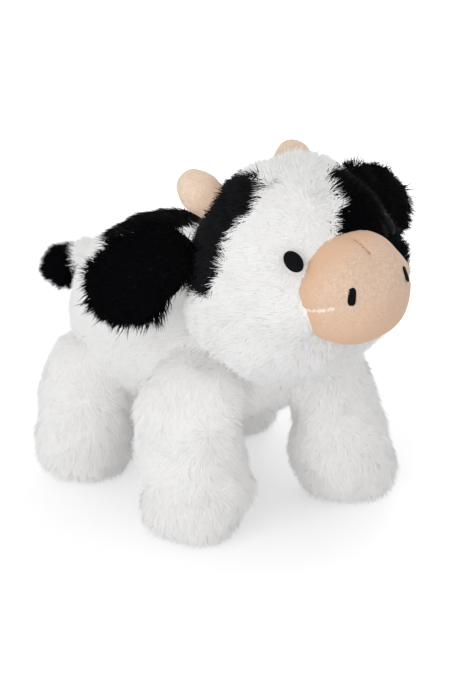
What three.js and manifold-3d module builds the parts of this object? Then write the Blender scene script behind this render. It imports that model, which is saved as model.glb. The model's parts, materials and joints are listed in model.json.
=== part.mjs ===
// A stuffed plush cow that stands on four feet, in millimetres. +Z is up, its face looks to -Y, its left side is +X.
// Each cover is a shell of fabric and pile, open at the seam where it is sewn on, and the fibre stuffing is inside.
// Each smaller form is cut by the larger one that it is sewn to, with room for its swing, and a ball of its stuffing
// reaches through the seam into a cup in the larger form.
import * as THREE from "three";
import { mergeVertices } from "three/addons/utils/BufferGeometryUtils.js";
import Module from "manifold-3d";

const wasm = await Module();
wasm.setup();

// Fabric and seams
const seamGap = 0.3;
const swingGap = 0.6;
const plushWall = 8;
const velourWall = 2;

// Torso
const torsoLength = 210;
const torsoWidth = 134;
const torsoHeight = 132;
const torsoMiddleHeight = 120;
const torsoMiddleBehind = 34;

// Head, whose middle is the point that its roll and turn are about
const headWidth = 132;
const headDepth = 143;
const headTop = 73;
const headBottom = 71;
const headMiddleAhead = 90;
const headMiddleHeight = 184;
const headRoll = 7;
const headYaw = 3;

// Neck, a ball of stuffing that fills the seam between torso and head
const neckRadius = 44;
const neckMiddleAhead = 47;
const neckMiddleHeight = 150;
const neckTurnLimit = 14;
const neckNodLimit = 7;

// Muzzle, which stands proud of the head's front
const muzzleWidth = 76;
const muzzleHeight = 71;
const muzzleLength = 66;
const muzzleProud = 17.5;
const muzzleMiddleAbove = 3.5;

// Stitched eyes and nostrils: how far each stands proud, and where it lies, seen from its form's middle
const eyeWidth = 9.5;
const eyeHeight = 12;
const eyeThickness = 5;
const eyeAzimuth = 37.5;
const eyeElevation = 28;
const nostrilWidth = 4.2;
const nostrilHeight = 11.5;
const nostrilThickness = 2.4;
const nostrilAzimuth = 40;
const nostrilElevation = 14;

// Horns, each proud of the head where it is sewn on
const hornWidth = 27.4;
const hornLength = 46;
const hornProud = 21.5;
const hornAzimuth = 137;
const hornElevation = 44.5;

// Ears: each side's own sweep and droop, because the right one is folded back and the left one sticks out
const earLength = 88;
const earWidth = 70;
const earThickness = 15;
const earRootDepth = 12;
const earAzimuth = 112;
const earElevation = 24;
const earRightSweep = 38;
const earLeftSweep = 8;
const earRightDroop = 22;
const earLeftDroop = 22;
const earTwist = 24;
const earSwingLimit = 22;

// Legs: each front foot's own place, because the right one is set back
const frontTopSide = 52;
const frontTopAhead = 58;
const frontTopHeight = 86;
const frontTopRadius = 35;
const frontHipSide = 38;
const frontHipAhead = 46;
const frontHipHeight = 94;
const rightSoleSide = 57;
const rightSoleAhead = 57;
const leftSoleSide = 68;
const leftSoleAhead = 68;
const frontFootRadius = 39;
const rearTopSide = 63;
const rearTopBehind = 76;
const rearTopHeight = 66;
const rearTopRadius = 33;
const rearHipSide = 46;
const rearHipBehind = 74;
const rearHipHeight = 76;
const rearSoleSide = 70.5;
const rearSoleBehind = 79.5;
const rearFootRadius = 36.5;
const soleCut = 0.5;
const hipBallRadius = 22;
const legSwingLimit = 12;

// Tail: a white sleeve and a black tuft at its end, hanging back and to the right
const tailRadius = 13.5;
const tailRootDepth = 10;
const tailLength = 21;
const tailAzimuth = 172;
const tailElevation = 9;
const tailSweep = 135;
const tailDroop = 20;
const tuftRadius = 15;
const tuftLength = 34;
const tuftOverlap = 12;
const tailSwingLimit = 15;

// Black patches: the middle and the reach of each, from the middle of the form that it is sewn into
const backPatch = { side: 8, behind: 36, above: 62, reachSide: 47, reachBehind: 50, reachAbove: 38 };
const rightPatch = { side: -55, behind: 30, above: 46, reachSide: 55, reachBehind: 43, reachAbove: 46 };
const leftPatch = { side: 54, behind: -28, above: 36, reachSide: 53, reachBehind: 58, reachAbove: 42 };

// How each form swells and tapers: share of its length, then of its half-width and half-depth, then how far its
// middle is set back, as a share of the half-depth
const torsoSwellShares = [
  [0, 0.92, 0.9, 0],
  [0.3, 0.97, 1, 0.01],
  [0.6, 1, 1, 0],
  [0.85, 1, 0.97, 0.02],
  [1, 0.96, 0.92, 0.03],
];
const headSwellShares = [
  [0, 0.98, 0.86, 0.1],
  [0.25, 1.04, 0.95, 0.05],
  [0.5, 1, 1, 0],
  [0.8, 0.95, 0.97, 0],
  [1, 0.93, 0.95, 0],
];
const muzzleSwellShares = [
  [0, 0.96, 0.96, 0],
  [0.5, 1, 1, 0],
  [1, 0.98, 0.97, 0],
];
const legSwellShares = [
  [0, 1, 1, 0],
  [0.3, 1, 1, 0],
  [0.62, 0.93, 0.93, 0],
  [1, 0.92, 0.92, 0],
];
const earSwellShares = [
  [0, 0.62, 1, 0],
  [0.3, 0.84, 1, 0],
  [0.65, 1, 1, 0],
  [1, 0.94, 1, 0],
];
const hornSwellShares = [
  [0, 0.8, 0.8, 0],
  [0.4, 0.88, 0.88, 0],
  [0.7, 1, 1, 0],
  [1, 1, 1, 0],
];
const tuftSwellShares = [
  [0, 0.9, 0.9, 0],
  [0.6, 1, 1, 0],
  [1, 0.8, 0.8, 0],
];
const evenSwellShares = [
  [0, 1, 1, 0],
  [1, 1, 1, 0],
];

// Counts of faces, and how blunt each form's ends are: 2 is an ellipse, more is fuller. A form that is stood on has
// one ring more, the edge of its sole, as a share of its half-width.
const torsoDetail = { rings: 10, sides: 18, blunt: 2.4 };
const headDetail = { rings: 11, sides: 18, blunt: 2.25 };
const muzzleDetail = { rings: 7, sides: 14, blunt: 2.1 };
const legDetail = { rings: 9, sides: 12, blunt: 3.6, soleShare: 0.4 };
const earDetail = { rings: 7, sides: 12, blunt: 2.4 };
const smallDetail = { rings: 6, sides: 10, blunt: 2.5 };
const hipDetail = { rings: 6, sides: 16, blunt: 2 };
const neckDetail = { rings: 11, sides: 20, blunt: 2 };
const ovalDetail = { rings: 4, sides: 10, blunt: 2 };
const patchDetail = { rings: 6, sides: 14, blunt: 2.2 };
const coreShare = 0.6;
const coreOf = ({ rings, sides, blunt }) => ({
  rings: Math.round(rings * coreShare),
  sides: Math.round(sides * coreShare),
  blunt,
});

// Finishes
const finish = (color, roughness) => new THREE.MeshStandardMaterial({ color, roughness, metalness: 0 });
const whitePlush = finish(0xf3f1ee, 0.95);
const blackPlush = finish(0x17171c, 0.9);
const beigeVelour = finish(0xf0cdaf, 0.85);
const hornVelour = finish(0xe8cdb4, 0.85);
const blackThread = finish(0x08080a, 0.5);
const fibreFill = finish(0xfafafa, 1);

// Where each ring of a form lies, as a share of its length: close together at its ends.
function ringShares({ rings, blunt, soleShare }) {
  const shares = Array.from({ length: rings - 1 }, (_, ring) => (1 - Math.cos((Math.PI * (ring + 1)) / rings)) / 2);
  return soleShare ? [(1 - (1 - soleShare ** blunt) ** (1 / blunt)) / 2, ...shares] : shares;
}

// The table's row at a share of the length, eased from each row to the next.
function swellAt(swellShares, along) {
  const next = Math.max(1, swellShares.findIndex((row) => row[0] >= along));
  const [low, high] = [swellShares[next - 1], swellShares[next]];
  const ease = THREE.MathUtils.smoothstep(along, low[0], high[0]);
  return low.map((value, column) => THREE.MathUtils.lerp(value, high[column], ease));
}

// A closed stuffed form along its own +Z from 0 to its length: rings of points between two poles, each ring an
// ellipse whose size follows the end's bluntness and the swell table. grow moves the whole surface out or in.
function stuffedForm({ length, halfWidth, halfDepth }, swellShares, detail, grow = 0) {
  const { sides, blunt } = detail;
  const shares = ringShares(detail);
  const positions = [0, 0, -grow];
  for (const along of shares) {
    const base = (1 - Math.abs(2 * along - 1) ** blunt) ** (1 / blunt);
    const [, wide, deep, back] = swellAt(swellShares, along);
    for (let side = 0; side < sides; side += 1) {
      const angle = (2 * Math.PI * side) / sides;
      positions.push(
        Math.cos(angle) * base * (wide * halfWidth + grow),
        Math.sin(angle) * base * (deep * halfDepth + grow) + back * halfDepth,
        along * (length + 2 * grow) - grow,
      );
    }
  }
  positions.push(0, 0, length + grow);
  const index = [];
  const last = positions.length / 3 - 1;
  for (let side = 0; side < sides; side += 1) {
    const next = (side + 1) % sides;
    index.push(0, 1 + next, 1 + side);
    for (let ring = 0; ring < shares.length - 1; ring += 1) {
      const [a, b] = [1 + ring * sides + side, 1 + ring * sides + next];
      index.push(a, b, b + sides, a, b + sides, a + sides);
    }
    index.push(last, last - sides + side, last - sides + next);
  }
  const geometry = new THREE.BufferGeometry();
  geometry.setAttribute("position", new THREE.Float32BufferAttribute(positions, 3));
  geometry.setIndex(index);
  return geometry;
}

// The matrix that lays a form's +Z from one point towards another, with its +Y as near as it can be to a direction.
function laidAlong(from, to, depthWay) {
  const z = to.clone().sub(from).normalize();
  const x = depthWay.clone().cross(z).normalize();
  return new THREE.Matrix4().makeBasis(x, z.clone().cross(x), z).setPosition(from);
}

// A three.js geometry as a solid that can be joined and cut.
function solid(geometry) {
  const bare = geometry.clone();
  bare.deleteAttribute("normal");
  bare.deleteAttribute("uv");
  const merged = mergeVertices(bare);
  return new wasm.Manifold(
    new wasm.Mesh({
      numProp: 3,
      vertProperties: new Float32Array(merged.attributes.position.array),
      triVerts: new Uint32Array(merged.index.array),
    }),
  );
}

const X = new THREE.Vector3(1, 0, 0);
const Y = new THREE.Vector3(0, 1, 0);
const Z = new THREE.Vector3(0, 0, 1);
const point = (x, y, z) => new THREE.Vector3(x, y, z);
const radians = THREE.MathUtils.degToRad;

// A unit direction from an azimuth, counted from straight ahead towards the given side, and an elevation.
function direction(side, azimuth, elevation) {
  const [a, e] = [radians(azimuth), radians(elevation)];
  return point(side * Math.sin(a) * Math.cos(e), -Math.cos(a) * Math.cos(e), Math.sin(e));
}

// Where a ray from inside a form leaves it.
function surfaceAt(geometry, from, way) {
  const mesh = new THREE.Mesh(geometry, new THREE.MeshBasicMaterial({ side: THREE.DoubleSide }));
  return new THREE.Raycaster(from, way).intersectObject(mesh)[0].point;
}

// The turn by an angle about an axis through a pivot.
function turn(pivot, axis, degrees) {
  return new THREE.Matrix4()
    .makeTranslation(pivot.x, pivot.y, pivot.z)
    .multiply(new THREE.Matrix4().makeRotationAxis(axis, radians(degrees)))
    .multiply(new THREE.Matrix4().makeTranslation(-pivot.x, -pivot.y, -pivot.z));
}

// A larger form in all the places that it takes, seen from the smaller piece that swings on it, joined into one
// cutter. Each swing is a pivot, an axis and a limit to either side, and may name the only angles that count.
function cutterFor(form, swings) {
  const places = swings.reduce(
    (some, { pivot, axis, limit, angles = [-limit, 0, limit] }) =>
      some.flatMap((place) => angles.map((angle) => turn(pivot, axis, angle).multiply(place))),
    [new THREE.Matrix4()],
  );
  return places.map((place) => solid(form.clone().applyMatrix4(place))).reduce((all, one) => all.add(one));
}

// Torso form
const torsoSize = { length: torsoLength, halfWidth: torsoWidth / 2, halfDepth: torsoHeight / 2 };
const torsoMiddle = point(0, torsoMiddleBehind, torsoMiddleHeight);
const chest = torsoMiddle.clone().addScaledVector(Y, -torsoLength / 2);
const torsoForm = (grow, detail = torsoDetail) =>
  stuffedForm(torsoSize, torsoSwellShares, detail, grow).applyMatrix4(laidAlong(chest, torsoMiddle, Z));
const torsoCore = (grow) => solid(torsoForm(grow, coreOf(torsoDetail)));

// Head form, upright in the head's own frame, which is then rolled and turned on the neck
const headMiddle = point(0, -headMiddleAhead, headMiddleHeight);
const headFrame = new THREE.Matrix4()
  .makeRotationZ(radians(headYaw))
  .multiply(new THREE.Matrix4().makeRotationY(-radians(headRoll)))
  .setPosition(headMiddle);
const inHead = (vector) => vector.applyMatrix4(headFrame);
const headWay = (vector) => vector.transformDirection(headFrame);
const headSize = { length: headTop + headBottom, halfWidth: headWidth / 2, halfDepth: headDepth / 2 };
const headForm = (grow, detail = headDetail) =>
  stuffedForm(headSize, headSwellShares, detail, grow).translate(0, 0, -headBottom).applyMatrix4(headFrame);
const headCore = (grow) => solid(headForm(grow, coreOf(headDetail)));

// A ball of stuffing about a pivot, its poles on an axis. A cup for it is wider by a gap in the middle of each of
// its flat faces, so that a ball that turns about the same axis never touches it.
function ballForm(pivot, axis, radius, detail) {
  const size = { length: 2 * radius, halfWidth: radius, halfDepth: radius };
  const pole = pivot.clone().addScaledVector(axis, -radius);
  return stuffedForm(size, evenSwellShares, detail).applyMatrix4(laidAlong(pole, pivot, Y));
}
const cupForm = (pivot, axis, radius, detail) =>
  ballForm(pivot, axis, (radius + seamGap) / Math.cos(Math.PI / detail.sides), detail);
const neckMiddle = point(0, -neckMiddleAhead, neckMiddleHeight);

// Muzzle form, its length along the way the face looks
const muzzleSize = { length: muzzleLength, halfWidth: muzzleWidth / 2, halfDepth: muzzleHeight / 2 };
const muzzleMiddleAhead = headDepth / 2 + muzzleProud - muzzleLength / 2;
const muzzleBack = point(0, muzzleLength / 2 - muzzleMiddleAhead, muzzleMiddleAbove);
const muzzleFront = point(0, -muzzleLength / 2 - muzzleMiddleAhead, muzzleMiddleAbove);
const muzzleForm = (grow) =>
  stuffedForm(muzzleSize, muzzleSwellShares, muzzleDetail, grow)
    .applyMatrix4(laidAlong(muzzleBack, muzzleFront, Z))
    .applyMatrix4(headFrame);
const muzzleMiddle = inHead(point(0, -muzzleMiddleAhead, muzzleMiddleAbove));

// Horn form: a round knob on a short neck, leaning out from the middle of the head
function hornForm(side, grow) {
  const way = headWay(direction(side, hornAzimuth, hornElevation));
  const tip = surfaceAt(headForm(0), headMiddle, way).addScaledVector(way, hornProud);
  const base = tip.clone().addScaledVector(way, -hornLength);
  const size = { length: hornLength, halfWidth: hornWidth / 2, halfDepth: hornWidth / 2 };
  return stuffedForm(size, hornSwellShares, smallDetail, grow).applyMatrix4(laidAlong(base, tip, headWay(Y.clone())));
}

// Stitched oval, seated half its thickness deep in the form under it, its height up the head
function stitchedOval(form, middle, side, { azimuth, elevation, width, height, thickness }, grow) {
  const way = headWay(direction(side, azimuth, elevation));
  const seat = surfaceAt(form, middle, way);
  const back = seat.clone().addScaledVector(way, -thickness / 2);
  const size = { length: thickness, halfWidth: width / 2, halfDepth: height / 2 };
  return stuffedForm(size, evenSwellShares, ovalDetail, grow).applyMatrix4(laidAlong(back, seat, headWay(Z.clone())));
}
const eyeSize = {
  azimuth: eyeAzimuth,
  elevation: eyeElevation,
  width: eyeWidth,
  height: eyeHeight,
  thickness: eyeThickness,
};
const nostrilSize = {
  azimuth: nostrilAzimuth,
  elevation: nostrilElevation,
  width: nostrilWidth,
  height: nostrilHeight,
  thickness: nostrilThickness,
};
const eyeForm = (side, grow) => stitchedOval(headForm(0), headMiddle, side, eyeSize, grow);
const nostrilForm = (side, grow) => stitchedOval(muzzleForm(0), muzzleMiddle, side, nostrilSize, grow);

// Ear: where its root is sewn to the head, which way it lies, which way it is wide, and its swing about the root seam
function earPlace(side) {
  const outward = headWay(direction(side, earAzimuth, earElevation));
  const root = surfaceAt(headForm(0), headMiddle, outward);
  const [sweep, droop] = side < 0 ? [earRightSweep, earRightDroop] : [earLeftSweep, earLeftDroop];
  const lengthWay = headWay(direction(side, 90 + sweep, -droop));
  const faceWay = headWay(direction(side, sweep + earTwist, droop));
  const wideWay = lengthWay.clone().cross(faceWay).normalize();
  return { root, lengthWay, faceWay: wideWay.clone().cross(lengthWay), wideWay };
}
function earForm(side, grow) {
  const { root, lengthWay, faceWay } = earPlace(side);
  const size = { length: earLength + earRootDepth, halfWidth: earWidth / 2, halfDepth: earThickness / 2 };
  const base = root.clone().addScaledVector(lengthWay, -earRootDepth);
  return stuffedForm(size, earSwellShares, earDetail, grow).applyMatrix4(laidAlong(base, root, faceWay));
}

// Leg: a column that leans from its sole to its top, and swings about its hip, the middle of its seam. Its rings lie
// level, so that its sole lies flat on the floor.
const frontSole = (side) =>
  side < 0 ? point(-rightSoleSide, -rightSoleAhead, -soleCut) : point(leftSoleSide, -leftSoleAhead, -soleCut);
const legs = [
  { name: "front_right", side: -1, front: true },
  { name: "front_left", side: 1, front: true },
  { name: "rear_right", side: -1, front: false },
  { name: "rear_left", side: 1, front: false },
].map(({ name, side, front }) => ({
  name,
  hip: front
    ? point(side * frontHipSide, -frontHipAhead, frontHipHeight)
    : point(side * rearHipSide, rearHipBehind, rearHipHeight),
  top: front
    ? point(side * frontTopSide, -frontTopAhead, frontTopHeight)
    : point(side * rearTopSide, rearTopBehind, rearTopHeight),
  sole: front ? frontSole(side) : point(side * rearSoleSide, rearSoleBehind, -soleCut),
  topRadius: front ? frontTopRadius : rearTopRadius,
  footRadius: front ? frontFootRadius : rearFootRadius,
}));
function legForm({ top, sole, topRadius, footRadius }, grow, detail = legDetail) {
  const rise = top.z - sole.z;
  const lean = top.clone().sub(sole).divideScalar(rise);
  const size = { length: rise + topRadius, halfWidth: footRadius, halfDepth: footRadius };
  return stuffedForm(size, legSwellShares, detail, grow).applyMatrix4(
    new THREE.Matrix4().makeBasis(X, Y, lean).setPosition(sole),
  );
}
const legCore = (leg, grow) => solid(legForm(leg, grow, coreOf(legDetail)));
const floorReach = 2 * torsoLength;
const underFloor = solid(
  new THREE.BoxGeometry(floorReach, floorReach, floorReach).translate(0, 0, -floorReach / 2),
);

// Tail sleeve from its root on the rump, and the tuft from the sleeve's end
const tailRoot = surfaceAt(torsoForm(0), torsoMiddle, direction(-1, tailAzimuth, tailElevation));
const tailWay = direction(-1, tailSweep, -tailDroop);
const tailEnd = tailRoot.clone().addScaledVector(tailWay, tailLength);
const tailForm = (grow) => {
  const size = { length: tailRootDepth + tailLength, halfWidth: tailRadius, halfDepth: tailRadius };
  const base = tailRoot.clone().addScaledVector(tailWay, -tailRootDepth);
  return stuffedForm(size, evenSwellShares, smallDetail, grow).applyMatrix4(laidAlong(base, tailEnd, Z));
};
const tuftForm = (grow) => {
  const size = { length: tuftLength, halfWidth: tuftRadius, halfDepth: tuftRadius };
  const base = tailEnd.clone().addScaledVector(tailWay, -tuftOverlap);
  return stuffedForm(size, tuftSwellShares, smallDetail, grow).applyMatrix4(laidAlong(base, tailEnd, Z));
};

// Patch: the part of a cover that lies inside a round region
function patchForm({ side, behind, above, reachSide, reachBehind, reachAbove }, frame, grow) {
  const size = { length: 2 * reachAbove, halfWidth: reachSide, halfDepth: reachBehind };
  return stuffedForm(size, evenSwellShares, patchDetail, grow)
    .translate(side, behind, above - reachAbove)
    .applyMatrix4(frame);
}
const torsoFrame = new THREE.Matrix4().setPosition(torsoMiddle);

// Swings, each about its own seam
const sides = [-1, 1];
const neckSwings = [
  { pivot: neckMiddle, axis: Z, limit: neckTurnLimit },
  { pivot: neckMiddle, axis: X, limit: neckNodLimit },
];
const earSwing = (side) => ({ pivot: earPlace(side).root, axis: earPlace(side).wideWay, limit: earSwingLimit });
const legSwing = ({ hip }) => ({ pivot: hip, axis: X, limit: legSwingLimit });
const tailLift = { pivot: tailRoot, axis: tailWay.clone().cross(Z).normalize(), limit: tailSwingLimit };
const tuftWag = { pivot: tailEnd, axis: Z, limit: tailSwingLimit };
const subtractAll = (whole, cutters) => cutters.reduce((rest, cutter) => rest.subtract(cutter), whole);

// Torso pieces, with a cup for the neck ball, which turns in it about Z, and one for each hip ball
const cups = [
  solid(cupForm(neckMiddle, Z, neckRadius, neckDetail)),
  ...legs.map(({ hip }) => solid(cupForm(hip, X, hipBallRadius, hipDetail))),
];
const torsoWall = subtractAll(solid(torsoForm(0)).subtract(torsoCore(-plushWall)), cups);
const torsoCover = torsoWall.subtract(solid(patchForm(backPatch, torsoFrame, seamGap)));
const torsoBackPatch = torsoWall.intersect(solid(patchForm(backPatch, torsoFrame, 0)));
const torsoStuffing = subtractAll(torsoCore(-plushWall - seamGap), cups);

// Head pieces, all clear of the torso in every turn and nod, with a cup that nods about X on the neck ball. Its
// faces don't lie as the ball's do, so it is wider by the ball's rings as well.
const nodRadius = neckRadius / Math.cos(Math.PI / (2 * neckDetail.rings));
const neckSeam = [
  solid(cupForm(neckMiddle, X, nodRadius, neckDetail)),
  cutterFor(torsoForm(swingGap), neckSwings),
];
const eyeSeats = sides.map((side) => solid(eyeForm(side, seamGap)));
const headWall = subtractAll(solid(headForm(0)).subtract(headCore(-plushWall)), [
  ...neckSeam,
  ...eyeSeats,
  solid(muzzleForm(seamGap)),
  ...sides.map((side) => solid(hornForm(side, seamGap))),
]);
const headCover = subtractAll(headWall, [
  solid(patchForm(rightPatch, headFrame, seamGap)),
  solid(patchForm(leftPatch, headFrame, seamGap)),
]);
const headRightPatch = headWall.intersect(solid(patchForm(rightPatch, headFrame, 0)));
const headLeftPatch = headWall.intersect(solid(patchForm(leftPatch, headFrame, 0)));
const headFibre = [
  headCore(-plushWall - seamGap),
  solid(muzzleForm(-velourWall - seamGap)),
  ...sides.map((side) => solid(hornForm(side, -velourWall - seamGap))),
].reduce((all, one) => all.add(one));
const headStuffing = subtractAll(headFibre, [...neckSeam, ...eyeSeats]);
const muzzleCover = subtractAll(solid(muzzleForm(0)), [
  solid(muzzleForm(-velourWall)),
  headCore(-plushWall),
  ...sides.map((side) => solid(nostrilForm(side, seamGap))),
]);
const hornCover = (side) =>
  subtractAll(solid(hornForm(side, 0)), [solid(hornForm(side, -velourWall)), headCore(-plushWall)]);

// Ear panels: the ear on one side of its middle sheet, less half a seam gap, and clear of the head as it swings
function earPanel(side, faceSide) {
  const { root, faceWay, wideWay } = earPlace(side);
  const reach = 2 * earLength;
  const slab = new THREE.BoxGeometry(reach, reach, reach).translate(0, faceSide * (seamGap / 2 + reach / 2), 0);
  slab.applyMatrix4(new THREE.Matrix4().makeBasis(wideWay, faceWay, wideWay.clone().cross(faceWay)).setPosition(root));
  return solid(earForm(side, 0)).intersect(solid(slab)).subtract(cutterFor(headForm(swingGap), [earSwing(side)]));
}

// Leg pieces: the cover ends at the hip seam, and the stuffing goes on through it as the hip ball
function legPieces(leg) {
  const seam = cutterFor(torsoForm(swingGap), [legSwing(leg)]);
  const hipBall = solid(ballForm(leg.hip, X, hipBallRadius, hipDetail));
  const hipRoom = solid(ballForm(leg.hip, X, hipBallRadius + seamGap, hipDetail));
  const headRoom = cutterFor(headForm(swingGap), [
    { ...neckSwings[1], angles: [neckNodLimit] },
    neckSwings[0],
    { ...legSwing(leg), angles: [0, legSwingLimit] },
  ]);
  return {
    cover: subtractAll(solid(legForm(leg, 0)), [legCore(leg, -plushWall), seam, hipRoom, headRoom, underFloor]),
    stuffing: legCore(leg, -plushWall - seamGap).subtract(seam).add(hipBall),
  };
}
const tailSleeve = solid(tailForm(0)).subtract(cutterFor(torsoForm(swingGap), [tailLift]));
const tailTuft = solid(tuftForm(0)).subtract(cutterFor(tailForm(swingGap), [tuftWag]));

// A body of the toy: a group whose origin is its pivot, with the pieces that move with it.
function body(name, pivot, parent, pieces) {
  const group = new THREE.Group();
  group.name = name + "_group";
  group.userData.pivot = pivot;
  group.position.copy(pivot).sub(parent.userData.pivot);
  for (const [pieceName, shape, material] of pieces) {
    const { vertProperties, triVerts } = shape.getMesh();
    const geometry = new THREE.BufferGeometry();
    geometry.setAttribute("position", new THREE.Float32BufferAttribute(vertProperties, 3));
    geometry.setIndex(new THREE.BufferAttribute(triVerts, 1));
    geometry.translate(-pivot.x, -pivot.y, -pivot.z);
    geometry.computeVertexNormals();
    const mesh = new THREE.Mesh(geometry, material);
    mesh.name = pieceName;
    group.add(mesh);
  }
  parent.add(group);
  return group;
}

// Assembly, in the tree in which the pieces carry each other
const cow = new THREE.Group();
cow.userData.pivot = point(0, 0, 0);
const torso = body("torso", torsoMiddle, cow, [
  ["torso_cover", torsoCover, whitePlush],
  ["back_patch", torsoBackPatch, blackPlush],
  ["torso_stuffing", torsoStuffing, fibreFill],
]);
const neckBall = solid(ballForm(neckMiddle, Z, neckRadius, neckDetail));
const neck = body("neck", neckMiddle, torso, [["neck_stuffing", neckBall, fibreFill]]);
const head = body("head", neckMiddle, neck, [
  ["head_cover", headCover, whitePlush],
  ["head_patch_right", headRightPatch, blackPlush],
  ["eye_patch_left", headLeftPatch, blackPlush],
  ["head_stuffing", headStuffing, fibreFill],
  ["muzzle_cover", muzzleCover, beigeVelour],
  ["eye_right", solid(eyeForm(-1, 0)), blackThread],
  ["eye_left", solid(eyeForm(1, 0)), blackThread],
  ["nostril_right", solid(nostrilForm(-1, 0)), blackThread],
  ["nostril_left", solid(nostrilForm(1, 0)), blackThread],
  ["horn_right", hornCover(-1), hornVelour],
  ["horn_left", hornCover(1), hornVelour],
]);
for (const side of sides) {
  const name = side < 0 ? "ear_right" : "ear_left";
  body(name, earPlace(side).root, head, [
    [name + "_front", earPanel(side, 1), blackPlush],
    [name + "_back", earPanel(side, -1), blackPlush],
  ]);
}
for (const leg of legs) {
  const { cover, stuffing } = legPieces(leg);
  body("leg_" + leg.name, leg.hip, torso, [
    ["leg_" + leg.name + "_cover", cover, whitePlush],
    ["leg_" + leg.name + "_stuffing", stuffing, fibreFill],
  ]);
}
const tail = body("tail", tailRoot, torso, [["tail_sleeve", tailSleeve, whitePlush]]);
body("tuft", tailEnd, tail, [["tail_tuft", tailTuft, blackPlush]]);

// The origin is on the floor, under the middle of the whole toy.
const bounds = new THREE.Box3().setFromObject(cow);
const middle = bounds.getCenter(point(0, 0, 0));
cow.position.set(-middle.x, -middle.y, 0);

// How each body moves on the one that carries it: pivot, axis and limit to either side
cow.userData.swings = {
  neck: neckSwings[0],
  head: neckSwings[1],
  ear_right: earSwing(-1),
  ear_left: earSwing(1),
  tail: tailLift,
  tuft: tuftWag,
  ...Object.fromEntries(legs.map((leg) => ["leg_" + leg.name, legSwing(leg)])),
};

export default cow;
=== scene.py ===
import json
import math
from functools import partial

import bpy
import numpy as np
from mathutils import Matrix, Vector


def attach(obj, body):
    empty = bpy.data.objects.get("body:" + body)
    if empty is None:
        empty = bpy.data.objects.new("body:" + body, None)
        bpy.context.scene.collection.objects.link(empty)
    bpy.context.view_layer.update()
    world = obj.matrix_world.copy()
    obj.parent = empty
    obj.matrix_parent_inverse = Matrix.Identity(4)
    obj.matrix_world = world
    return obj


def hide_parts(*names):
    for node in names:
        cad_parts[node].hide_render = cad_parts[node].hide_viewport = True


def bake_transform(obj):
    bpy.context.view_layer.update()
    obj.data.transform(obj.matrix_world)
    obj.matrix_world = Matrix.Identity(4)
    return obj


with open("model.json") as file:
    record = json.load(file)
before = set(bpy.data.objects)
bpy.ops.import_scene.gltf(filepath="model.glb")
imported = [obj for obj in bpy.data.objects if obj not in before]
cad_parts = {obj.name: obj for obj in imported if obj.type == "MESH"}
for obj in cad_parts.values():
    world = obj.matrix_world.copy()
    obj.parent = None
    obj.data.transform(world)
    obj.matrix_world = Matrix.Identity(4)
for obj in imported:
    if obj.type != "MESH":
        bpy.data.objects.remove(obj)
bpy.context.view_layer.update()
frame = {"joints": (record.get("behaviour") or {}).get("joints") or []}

# Lengths are in millimetres, in the frame of the CAD, until they go into a mesh. The studio's are in metres.
MM = 0.001
UP = np.array([0.0, 0.0, 1.0])
AHEAD = np.array([0.0, -1.0, 0.0])
SIDES = {"right": -1, "left": 1}

# Places


def unit(way):
    """A way, or rows of ways, made one long."""
    return way / np.maximum(np.linalg.norm(way, axis=-1, keepdims=True), 1e-9)


seams = {joint["name"]: np.array(joint["pos_m"]) / MM for joint in frame["joints"]}
neck_middle = seams["neck_turn"]
torso_middle = neck_middle + [0, 81, -30]
head_middle = neck_middle + [0, -43, 34]


def turned(yaw, roll):
    """Rows that turn a way by roll about Y, then by yaw about Z."""
    y, r = math.radians(yaw), math.radians(roll)
    about_z = np.array([[math.cos(y), -math.sin(y), 0], [math.sin(y), math.cos(y), 0], [0, 0, 1]])
    about_y = np.array([[math.cos(r), 0, math.sin(r)], [0, 1, 0], [-math.sin(r), 0, math.cos(r)]])
    return (about_z @ about_y).T


HEAD_ROWS = turned(yaw=3, roll=-7)


def head_way(way):
    """A way in the head's own frame, as a way in the whole frame."""
    return np.asarray(way, float) @ HEAD_ROWS


def head_place(place):
    """A place in the head's own frame, as a place in the whole frame."""
    return head_middle + head_way(place)


def head_local(points):
    """Places in the whole frame, as places in the head's own frame."""
    return (points - head_middle) @ HEAD_ROWS.T


def compass(side, azimuth, rise):
    """A way at an azimuth from straight ahead, out to a side, and at an angle above the level."""
    a, e = math.radians(azimuth), math.radians(rise)
    return np.array([side * math.sin(a) * math.cos(e), -math.cos(a) * math.cos(e), math.sin(e)])


def laid_along(start, end, depth_way):
    """Rows x, y and z: z runs from start to end, x is square to z and the depth way, y to both."""
    z = unit(np.subtract(end, start))
    x = unit(np.cross(depth_way, z))
    return np.array([x, np.cross(z, x), z])


def in_metres(place):
    """A place or a way in millimetres, as three numbers in metres."""
    return tuple(float(c) * MM for c in place)


# Stuffed forms

# A row of a form's table holds how far along it is, and its shares of width, depth and shift to the back.
EVEN = [[0, 1, 1, 0], [1, 1, 1, 0]]
TORSO = [[0, 0.92, 0.9, 0], [0.3, 0.97, 1, 0.01], [0.6, 1, 1, 0], [0.85, 1, 0.97, 0.02],
         [1, 0.96, 0.92, 0.03]]
HEAD = [[0, 0.98, 0.86, 0.1], [0.25, 1.04, 0.95, 0.05], [0.5, 1, 1, 0], [0.8, 0.95, 0.97, 0],
        [1, 0.93, 0.95, 0]]
MUZZLE = [[0, 0.96, 0.96, 0], [0.5, 1, 1, 0], [1, 0.98, 0.97, 0]]
LEG = [[0, 1, 1, 0], [0.3, 1, 1, 0], [0.62, 0.93, 0.93, 0], [1, 0.92, 0.92, 0]]
EAR = [[0, 0.62, 1, 0], [0.3, 0.84, 1, 0], [0.65, 1, 1, 0], [1, 0.94, 1, 0]]
HORN = [[0, 0.8, 0.8, 0], [0.4, 0.88, 0.88, 0], [0.7, 1, 1, 0], [1, 1, 1, 0]]
TUFT = [[0, 0.9, 0.9, 0], [0.6, 1, 1, 0], [1, 0.8, 0.8, 0]]
FAR, HALVINGS = 300.0, 40


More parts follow.
